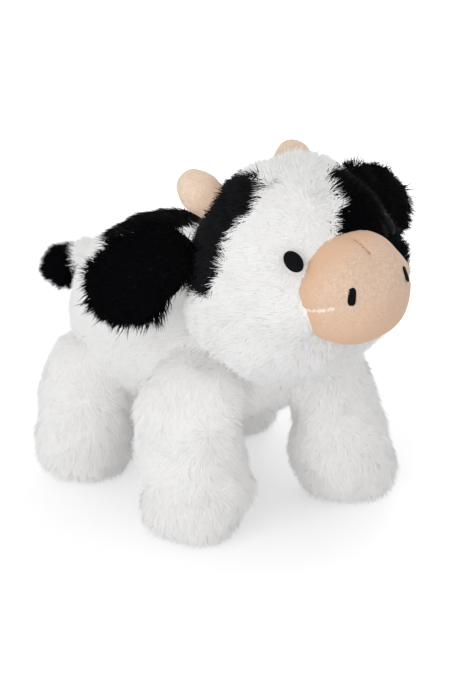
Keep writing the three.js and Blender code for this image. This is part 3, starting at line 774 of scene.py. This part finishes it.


# Each pile is darker at the root than at the tip: painted shade deep in the pile. The darker colour by tone
# is random.
white_pile = pile_material(
    "white_pile", root=(0.925, 0.912, 0.895), length=(0.95, 0.943, 0.932), tip=(0.965, 0.963, 0.96),
    darker=(0.91, 0.895, 0.875), spread=0.25, roughness=0.8, specular=0.1, sheen=0.2, sheen_tint=(1, 1, 1))
black_pile = pile_material(
    "black_pile", root=(0.0006, 0.0006, 0.0008), length=(0.001, 0.001, 0.0014), tip=(0.0025, 0.0025, 0.004),
    darker=(0.0006, 0.0006, 0.0008), spread=0.5, roughness=0.6, specular=0.02, sheen=0.003,
    sheen_tint=(0.75, 0.8, 1))
# A copy of the black pile, lighter towards its tips: painted sheen where light grazes the head patch's pile.
sheen_painted_black = pile_material(
    "sheen_painted_black_pile", root=(0.0008, 0.0008, 0.001), length=(0.005, 0.005, 0.006), tip=(0.02, 0.02, 0.023),
    darker=(0.001, 0.001, 0.0012), spread=0.6, roughness=0.6, specular=0.04, sheen=0.006,
    sheen_tint=(0.8, 0.85, 1))
WHITE_PLUSH, BLACK_PLUSH = (white_pile, "white_plush"), (black_pile, "black_plush")
backing = skin_material("backing", pale=(0.93, 0.92, 0.90), dark=(0.004, 0.004, 0.005))
thread = thread_material("black_thread", dark=(0.0015, 0.0015, 0.002), shiny=(0.006, 0.006, 0.008))


def seam_across(start, end):
    """The way out of the plane through a seam's ends and the muzzle's middle."""
    return tuple(unit(np.cross(end - start, start - muzzle_middle)))


# The top seam is a dark seam line. Each side crease gets a pale line, a painted highlight along the fold.
TOP_SEAM_COLOUR, SIDE_CREASE_HIGHLIGHT = (0.45, 0.26, 0.16), (0.92, 0.78, 0.67)
MUZZLE_SEAMS = [(head_place([0, -63, 38]), head_place([0, -76, 32]), 0.9, TOP_SEAM_COLOUR)]
MUZZLE_SEAMS += [(head_place([side * 38, -55, 0]), head_place([side * 30, -75, 5]), 1.5, SIDE_CREASE_HIGHLIGHT)
                 for side in SIDES.values()]
MUZZLE_SEAMS = [(start, end, seam_across(start, end), width, tint)
                for start, end, width, tint in MUZZLE_SEAMS]
# Each edge colour is painted shade, warmer and darker than the nap, laid on by the piece's edge attribute.
velour = nap_material(
    "beige_velour", base=(0.715, 0.53, 0.405), brushed=(0.825, 0.64, 0.505), deep=(0.52, 0.35, 0.245),
    mottle=380, fibre=1100, bump=0.9, sheen_tint=(1, 0.9, 0.8), edge=(0.74, 0.46, 0.30), lines=MUZZLE_SEAMS)
horn_velour = nap_material(
    "horn_velour", base=(0.78, 0.62, 0.48), brushed=(0.87, 0.71, 0.57), deep=(0.58, 0.43, 0.32), mottle=220,
    fibre=1100, bump=0.7, sheen_tint=(1, 0.92, 0.84), edge=(0.68, 0.48, 0.34))

# Pieces with their materials and their own attributes


def dress(piece, material, slot_name):
    """A piece, with its material. Its slot name is not used."""
    piece.data.materials.append(material)
    return piece


def point_values(piece, name, values):
    """A number for each point of a piece, for its material."""
    layer = piece.data.attributes.new(name, "FLOAT", "POINT")
    layer.data.foreach_set("value", np.asarray(values, np.float32).ravel())


def black_share(patches, points, seed):
    """1 inside a black patch and 0 outside, with a ragged edge."""
    share = np.zeros(points.shape[:-1])
    for patch in patches:
        depth = patch.depth(points) + 1.6 * waves(points, 9, seed) + 1.2 * waves(points, 30, seed + 5)
        share = np.maximum(share, np.clip(depth / 1.5 + 0.5, 0, 1))
    return share


def backing_piece(name, grid, black, slot_name):
    """The closed backing under a form's pile, black at each point by a share."""
    piece = skin_piece(name + "_backing", grid)
    point_values(piece, "black", np.broadcast_to(black, len(piece.data.vertices)))
    return dress(piece, backing, slot_name)


# How far a backing is grown beyond its form. Less than 0 is inside it, and leaves room for the pile.
INSET = -6.5

# Torso

TORSO_SWELLINGS = [(torso_middle + [10, -45, -62], 5, 40), (torso_middle + [0, 20, 60], 3, 55),
                   (seams["leg_front_right_swing"] + [-44, 22, 12], 8, 30)]
TORSO_PARTS = {"torso_pile_front": (-np.inf, -38), "torso_pile_middle": (-38, 4), "torso_pile_rear": (4, 48),
               "torso_pile_seat": (48, np.inf)}
torso_skin = lumpy(torso_form.skin(rings=56, sides=72, grow=INSET), size=55, height=1.6, seed=11)
torso_skin = filled_creases(stuffed(torso_skin, seam_lines=[18, 54]), leg_forms.values(), room=36)
torso_skin = swollen(torso_skin, TORSO_SWELLINGS)
rng = np.random.default_rng(101)
leg_tops = [(form, 13) for form in leg_forms.values()]
roots, normals = strewn_outside(torso_skin, 0.82, rng, (head_form, 16), *leg_tops)
comb = np.array([0, 0.45, -0.85]) + 0.35 * wave_ways(roots, 60, 21) + 0.25 * wave_ways(roots, 18, 24)
black = black_share([back_patch], roots, 31) > 0.5
along = roots[:, 1] - torso_middle[1]
pieces = {"back_patch_pile": black}
for name, (low, high) in TORSO_PARTS.items():
    pieces[name] = ~black & (along >= low) & (along < high)
for name, mask in pieces.items():
    dark = name == "back_patch_pile"
    up_or_back = np.clip(2 * (normals[mask] @ [0, 1, 1]), 0, 1)
    fur = pile(name, roots[mask], normals[mask], comb[mask], PILE, rng, lean=flatter(up_or_back))
    dress(fur, *(BLACK_PLUSH if dark else WHITE_PLUSH))
    if dark:
        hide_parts("back_patch")
    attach(fur, "torso")

black = black_share([back_patch], closed_points(torso_skin), 31)
body = backing_piece("torso", torso_skin, black, "white_plush")
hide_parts("torso_cover", "torso_stuffing")
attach(body, "torso")

# Neck

neck_skin = lumpy(neck_form.skin(rings=24, sides=32, grow=INSET), size=40, height=1.0, seed=12)
rng = np.random.default_rng(102)
roots, normals = strewn_outside(neck_skin, 0.7, rng, (head_form, 12), (torso_form, 12))
comb = np.array([0, 0.7, -0.7]) + 0.3 * wave_ways(roots, 30, 26)
fur = pile("neck_pile", roots, normals, comb, PILE, rng)
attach(dress(fur, white_pile, "white_plush"), "neck")
body = backing_piece("neck", neck_skin, 0, "white_plush")
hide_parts("neck_stuffing")
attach(body, "neck")

# Head

# Each swelling is (place, height, spread), with the place in the head's own frame.
HEAD_SWELLINGS = [((-65, 40, -24), 10, 30), ((-34, -8, -68), 7, 34), ((10, -30, -62), 4, 26),
                  ((46, -54, -30), 8, 22), ((60, 0, -40), 5, 30), ((28, 4, 71), 4, 22),
                  ((58, -50, 14), 8, 22)]
EYE_AZIMUTH, EYE_RISE, EYE_ROOM = 37.5, 26.5, 8.2
PARTING, LEFT_PART = -12, 26
head_skin = lumpy(head_form.skin(rings=56, sides=72, grow=INSET), size=50, height=1.3, seed=13)
head_skin = swollen(stuffed(head_skin, seam_lines=[0, 36]), [
    (head_place(place), height, spread) for place, height, spread in HEAD_SWELLINGS])
eye_places = {name: head_form.reach(head_middle, head_way(compass(side, EYE_AZIMUTH, EYE_RISE)))
              for name, side in SIDES.items()}

rng = np.random.default_rng(103)
horn_feet = [(form, 1.5) for form in horn_forms.values()]
roots, normals = strewn_outside(head_skin, 0.9, rng, (torso_form, 16), (muzzle_form, 1.0), *horn_feet)
keep = np.all([np.linalg.norm(roots - place, axis=-1) > EYE_ROOM for place in eye_places.values()], 0)
roots, normals = roots[keep], normals[keep]


def head_comb(points):
    """Away from the muzzle and from each eye near it, to both sides of a parting on the forehead, and down
    at the back of the head and on the cheeks."""
    local = head_local(points)
    way = unit(points - muzzle_middle)
    for place in eye_places.values():
        gap = points - place
        near = np.exp(-(np.linalg.norm(gap, axis=-1, keepdims=True) / 15) ** 2)
        way = way * (1 - 0.75 * near) + near * unit(gap)
    behind = np.clip(local[:, 1:2] / 70, 0, 1)
    cheek = np.clip(-local[:, 2:3] / 60, 0, 1)
    way = way - 0.9 * behind * UP - 0.35 * cheek * UP
    top = np.clip((local[:, 2:3] - 18) / 22, 0, 1) * np.clip((25 - local[:, 1:2]) / 30, 0, 1)
    aside = np.tanh((local[:, 0:1] - PARTING) / 12) * head_way([1, 0, 0]) - 0.35 * UP
    way = way * (1 - 0.6 * top) + 0.8 * top * aside
    return way + 0.22 * wave_ways(points, 45, 41) + 0.2 * wave_ways(points, 14, 44)


comb, length = head_comb(roots), np.full(len(roots), PILE)
for place in eye_places.values():
    gap = np.linalg.norm(roots - place, axis=-1)
    length *= 1 - 0.3 * np.exp(-((gap - 8) / 7) ** 2)
length *= 1 - 0.35 * np.exp(-(muzzle_form.depth(roots) / 7) ** 2)
on_right = black_share(right_patches, roots, 32) > 0.5
on_left = (black_share(left_patches, roots, 33) > 0.5) & ~on_right
white, across = ~(on_right | on_left), head_local(roots)[:, 0]
pieces = {"head_patch_pile": on_right, "eye_patch_pile": on_left,
          "head_pile_right": white & (across < PARTING),
          "head_pile_middle": white & (across >= PARTING) & (across < LEFT_PART),
          "head_pile_left": white & (across >= LEFT_PART)}
for name, mask in pieces.items():
    facing_back = np.clip(2 * normals[mask, 1], 0, 1)
    fur = pile(name, roots[mask], normals[mask], comb[mask], length[mask], rng, clump=9.0, pull=0.5,
               lean=flatter(facing_back))
    if name == "head_patch_pile":
        # The head patch gets the black pile with painted sheen.
        dress(fur, sheen_painted_black, "black_plush")
        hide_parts("head_patch_right")
    elif name == "eye_patch_pile":
        dress(fur, *BLACK_PLUSH)
        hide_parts("eye_patch_left")
    else:
        dress(fur, *WHITE_PLUSH)
    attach(fur, "head")

points = closed_points(head_skin)
black = np.maximum(black_share(right_patches, points, 32), black_share(left_patches, points, 33))
body = backing_piece("head", head_skin, black, "white_plush")
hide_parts("head_cover", "head_stuffing")
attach(body, "head")

# Muzzle and horns


def dart(points, start, end, across, width):
    """How near points lie to a seam, 1 on the plane through it and falling by e^-(gap / width)^2 to both
    sides, and fading past its ends."""
    off, reach = points - start, end - start
    t = (off @ reach) / (reach @ reach)
    past = np.maximum(np.abs(t - 0.5) - 0.5, 0)
    return np.exp(-(off @ across / width) ** 2 - (past * 4) ** 2) * (t > -1)


def beside_head(points, fade):
    """1 at the head's surface and e^-(gap / fade)^2 further out."""
    return np.exp(-(np.clip(-head_form.depth(points), 0, None) / fade) ** 2)


grid = lumpy(muzzle_form.skin(rings=110, sides=150, grow=0), size=34, height=0.7, seed=14)
press = np.zeros(grid.shape[:2])
for start, end, across, width, _ in MUZZLE_SEAMS:
    press = np.maximum(press, dart(grid, start, end, across, 1 + 0.5 * width))
grid = grid - grid_normals(grid) * (0.7 * press + 0.7 * press ** 0.2)[..., None]
muzzle = skin_piece("muzzle", grid)
points = closed_points(grid)
# Painted shade: the edge attribute warms and darkens the muzzle beside the head's fur and towards its
# underside.
under = np.clip((muzzle_middle - points) @ head_way(UP) / 40 + 0.2, 0, 1)
point_values(muzzle, "edge", np.maximum(0.75 * beside_head(points, 7), 0.85 * under))
dress(muzzle, velour, "beige_velour")
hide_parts("muzzle_cover")
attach(muzzle, "head")

HORN_SHIFT = {"right": 0, "left": 3}
for name, form in horn_forms.items():
    grid = lumpy(form.skin(rings=36, sides=48, grow=0), size=20, height=0.35, seed=15)
    grid = grid - HORN_SHIFT[name] * form.rows[2]
    horn = skin_piece("horn_cover_" + name, grid, subdivide=1)
    # Painted shade: the edge attribute darkens the horn where it meets the head.
    point_values(horn, "edge", 0.7 * beside_head(closed_points(grid), 6))
    dress(horn, horn_velour, "horn_velour")
    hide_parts("horn_" + name)
    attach(horn, "head")

# Stitched eyes and nostrils


def stitched(name, middle, out, up, wide, high, thick, tilt, body_name, node, square=1.0):
    """A satin-stitched oval: a low dome 1 - r^4 high over an oval (cos^square, sin^square), crossed by
    ridges of thread and edged by a cord. Its last rings go in behind it and close it."""
    side = unit(np.cross(up, out))
    up = np.cross(out, side)
    t = math.radians(tilt)
    side, up = math.cos(t) * side + math.sin(t) * up, -math.sin(t) * side + math.cos(t) * up
    rings, sides, behind, depth = 28, 56, 8, 1.5
    thread_wide, ridge_high, cord_at, cord_wide, cord_high = 0.75, 0.12, 0.86, 0.07, 0.3
    ring = np.arange(rings + 1)[:, None]
    r = np.sin(np.pi / 2 * np.minimum(1, ring / (rings - behind)))
    turn = (2 * np.pi * np.arange(sides) / sides)[None]
    x, y = [np.sign(w) * np.abs(w) ** square * r * size / 2
            for w, size in ((np.cos(turn), wide), (np.sin(turn), high))]
    ridge = np.cos(2 * np.pi * (x * 0.94 + y * 0.34) / thread_wide)
    cord = np.exp(-((r - cord_at) / cord_wide) ** 2)
    rise = thick * (1 - r ** 4) + ridge_high * ridge * (1 - r ** 6) + cord_high * cord
    under = np.clip((ring - (rings - behind)) / behind, 0, 1)[..., None]
    across, along = x[..., None] * side, y[..., None] * up
    front = middle + across + along + rise[..., None] * out
    back = middle + (1 - 0.999 * under) * (across + along) - depth * np.sin(np.pi / 2 * under) * out
    piece = skin_piece(name, np.where(under > 0, back, front))
    # The thread attribute is 1 on each thread's ridge, where the painted highlight goes.
    point_values(piece, "thread", closed_points((0.5 + 0.5 * ridge)[..., None]))
    dress(piece, thread, "black_thread")
    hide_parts(node)
    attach(piece, body_name)


for name, side in SIDES.items():
    way = head_way(compass(side, EYE_AZIMUTH, 28))
    place = eye_places[name] + 0.6 * way
    stitched("eye_stitch_" + name, place, way, head_way(UP), wide=10.5, high=14.5, thick=1.6, tilt=-34 * side,
             body_name="head", node="eye_" + name)
    way = head_way(compass(side, azimuth=40, rise=14))
    place = muzzle_form.reach(muzzle_middle, way) - 0.1 * way
    stitched("nostril_stitch_" + name, place, way, head_way(UP), wide=5.2, high=11, thick=0.6, tilt=6 * side,
             body_name="head", node="nostril_" + name, square=0.65)

# Ears

EAR_SHOULDER = {"right": 13, "left": 2}
EAR_SEED = {"right": 104, "left": 105}
for name, form in ear_forms.items():
    length_way = ear_ways[name]
    grid = form.skin(rings=44, sides=56, grow=-9.0, grow_deep=-4.6, grow_long=-13.0)
    across, _, along = np.moveaxis(form.local(grid), -1, 0)
    up_side = np.sign(head_way(UP) @ form.rows[0])
    shoulder = np.clip(up_side * across / 20, 0, 1) * np.exp(-((along - 20) / 20) ** 2)
    grid = grid + up_side * EAR_SHOULDER[name] * shoulder[..., None] * form.rows[0]
    grid = stuffed(lumpy(grid, size=40, height=0.8, seed=16), seam_lines=[0, 28])
    rng = np.random.default_rng(EAR_SEED[name])
    roots, normals = strewn(grid, 2.2 * DENSITY, rng)
    rim = np.clip((0.75 - np.abs(normals @ form.rows[1])) / 0.4, 0, 1)
    keep = outside(roots, (head_form, 12)) & (rng.random(len(roots)) < 0.38 + 0.62 * rim)
    roots, normals, rim = roots[keep], normals[keep], rim[keep]
    across, _, along = form.local(roots).T
    rim = rim * np.clip((along - 22) / 16, 0, 1)
    comb = length_way + 0.5 * (across / 26)[:, None] * form.rows[0]
    comb = comb + 0.3 * wave_ways(roots, 40, 51) + 0.25 * wave_ways(roots, 13, 54)
    length = 9.0 + rim * (4.5 + 2.5 * waves(roots, 8, 95))
    fur = pile("ear_%s_pile" % name, roots, normals, comb, length, rng, lean=(42 - 24 * rim, 78 - 40 * rim),
               clump=5, pull=0.3 + 0.6 * rim, bent=0.45)
    dress(fur, *BLACK_PLUSH)
    root = seams["ear_%s_flap" % name]
    start, end = in_metres(root - 6 * length_way), in_metres(root + 16 * length_way)
    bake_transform(fur)
    body = backing_piece("ear_" + name, grid, 1, "black_plush")
    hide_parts("ear_%s_front" % name, "ear_%s_back" % name)
    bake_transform(body)

# Legs

for number, (name, form) in enumerate(leg_forms.items()):
    hip = seams[name + "_swing"]
    grid = form.skin(rings=52, sides=60, grow=INSET, grow_long=-2.5)
    grid = stuffed(lumpy(grid, size=48, height=1.4, seed=60 + number), seam_lines=[0, 30])
    grid = swollen(grid, [
        (hip + place, height, spread) for place, height, spread in LEGS[name]["shaping"]])
    grid = filled_creases(grid, [torso_form], room=26)
    grid[..., 2] = np.maximum(grid[..., 2], 2.0)
    rng = np.random.default_rng(110 + number)
    roots, normals = strewn_outside(grid, 0.79, rng, (torso_form, 12))
    under = np.clip((-normals[:, 2] - 0.55) / 0.3, 0, 1)
    comb = -UP + 0.25 * wave_ways(roots, 45, 71 + number) + 0.25 * wave_ways(roots, 15, 81 + number)
    comb = comb + under[:, None] * unit(roots - roots.mean(0)) * np.array([1, 1, 0])
    short = np.zeros(len(roots))
    for whorl in LEGS[name]["whorls"]:
        away = roots - (hip + whorl)
        gap = np.linalg.norm(away, axis=-1)
        comb = comb + 1.35 * np.exp(-(gap / 20) ** 2)[:, None] * unit(away)
        short = np.maximum(short, np.exp(-(gap / 7) ** 2))
    facing_up = np.clip((normals[:, 2] - 0.1) / 0.4, 0, 1)
    lean = flatter(facing_up, first=30 + 40 * under, last=66 + 20 * under)
    fur = pile(name + "_pile", roots, normals, comb, PILE - 3 * under - 3 * short, rng, lean=lean, floor=0.15)
    dress(fur, *WHITE_PLUSH)
    start, end = in_metres(hip + [0, 0, 8]), in_metres(hip - [0, 0, 34])
    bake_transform(fur)
    body = backing_piece(name, grid, 0, "white_plush")
    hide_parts(name + "_cover", name + "_stuffing")
    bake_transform(body)

# Tail

tail_rooms, tuft_rooms = [(torso_form, 8), (tuft_form, 5)], [(tail_form, 9)]
for name, form, bodies, seam, rooms, node, dark in (
        ("tail", tail_form, ("torso", "tail"), tail_root, tail_rooms, "tail_sleeve", False),
        ("tuft", tuft_form, ("tail", "tuft"), tail_end, tuft_rooms, "tail_tuft", True)):
    start, end = seam - 4 * tail_way, seam + 8 * tail_way
    grid = form.skin(rings=24, sides=32, grow=-5.0)
    rng = np.random.default_rng(121 if dark else 120)
    roots, normals = strewn_outside(grid, 1.5, rng, *rooms)
    comb = tail_way + 0.3 * wave_ways(roots, 20, 91)
    near_seam = np.exp(-(((roots - tail_end) @ tail_way) / 9) ** 2)
    fur = pile(name + "_pile", roots, normals, comb, PILE + near_seam, rng, clump=5, pull=0.85, bent=0.6,
               lean=(22 + 10 * near_seam, 42 + 20 * near_seam), tilt=-0.5)
    dress(fur, *(BLACK_PLUSH if dark else WHITE_PLUSH))
    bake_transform(fur)
    body = backing_piece(name, grid, float(dark), "black_plush" if dark else "white_plush")
    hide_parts(node)
    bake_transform(body)

# Floor, light and camera

# The lamps' and the camera's places and sizes are in metres.
WHITE, FILL, WORLD = (1, 1, 1), 0.78, 1.0
FLOOR_HALF, FLOOR_COLOUR, FLOOR_GLOW = 3000.0, (0.86, 0.86, 0.87), 0.2
LAMPS = {"key": dict(place=(-1.3, -0.85, 0.6), power=9.7, size=1.6),
         "rim": dict(place=(1.1, 0.9, 0.75), power=4.0, size=1.4)}
LAMP_AIM = (0, 0, 0.12)
CAMERA_PLACE, CAMERA_AIM, LENS = (-0.644, -0.943, 0.540), (-0.0107, -0.0186, 0.1127), 92


def seen_directly(tree):
    """1 for rays from the camera, a mirror or a clear part, and 0 for light that bounces."""
    do = partial(math_node, tree)
    path = add_node(tree, "LightPath", {}).outputs
    seen = do("MAXIMUM", path["Is Camera Ray"], path["Is Glossy Ray"])
    return do("MAXIMUM", seen, path["Is Transmission Ray"])


def build_floor():
    """A pale floor that glows more further out where it is seen directly, so that it has no edge."""
    corners = [[x * FLOOR_HALF, y * FLOOR_HALF, 0] for x, y in ((-1, -1), (1, -1), (1, 1), (-1, 1))]
    floor = put_mesh("floor", corners, [4], [0, 1, 2, 3])
    material, tree = new_material("pale_floor")
    do = partial(math_node, tree)
    place = add_node(tree, "TexCoord", {}).outputs["Object"]
    far = add_node(tree, "VectorMath", {0: place}, operation="LENGTH").outputs["Value"]
    spread = do("MINIMUM", do("MULTIPLY", far, 0.5), 1.0)
    glow = do("MULTIPLY", seen_directly(tree), do("ADD", spread, FLOOR_GLOW))
    surface(tree, {"Base Color": FLOOR_COLOUR, "Roughness": 0.9, "Specular IOR Level": 0.1,
                   "Emission Strength": glow, "Emission Color": WHITE})
    floor.data.materials.append(material)


def build_world():
    """A world that looks white, and lights the toy a little less than it looks."""
    world = bpy.data.worlds.new("studio")
    bpy.context.scene.world = world
    world.use_nodes = True
    tree = world.node_tree
    tree.nodes.clear()
    fill, white = [add_node(tree, "Background", {"Color": WHITE, "Strength": power}).outputs[0]
                   for power in (FILL, WORLD)]
    mix = add_node(tree, "MixShader", {0: seen_directly(tree), 1: fill, 2: white})
    add_node(tree, "OutputWorld", {"Surface": mix.outputs[0]})


def put_aimed(name, data, place, aim):
    """A lamp or a camera at a place, turned to another place."""
    thing = bpy.data.objects.new(name, data)
    thing.location = place
    thing.rotation_euler = (Vector(aim) - Vector(place)).to_track_quat("-Z", "Y").to_euler()
    bpy.context.scene.collection.objects.link(thing)
    return thing


def studio():
    """The floor, the world, one broad lamp from the upper left and a weak one from behind on the right, and
    the camera."""
    build_floor()
    build_world()
    for name, lamp in LAMPS.items():
        data = bpy.data.lights.new(name, "AREA")
        data.energy, data.size, data.shape = lamp["power"], lamp["size"], "DISK"
        put_aimed(name, data, lamp["place"], LAMP_AIM)
    data = bpy.data.cameras.new("camera")
    data.lens, data.sensor_width, data.sensor_fit = LENS, 36, "AUTO"
    data.clip_start, data.clip_end = 0.05, 20
    bpy.context.scene.camera = put_aimed("camera", data, CAMERA_PLACE, CAMERA_AIM)
    bpy.context.scene.view_settings.view_transform = "Standard"


studio()
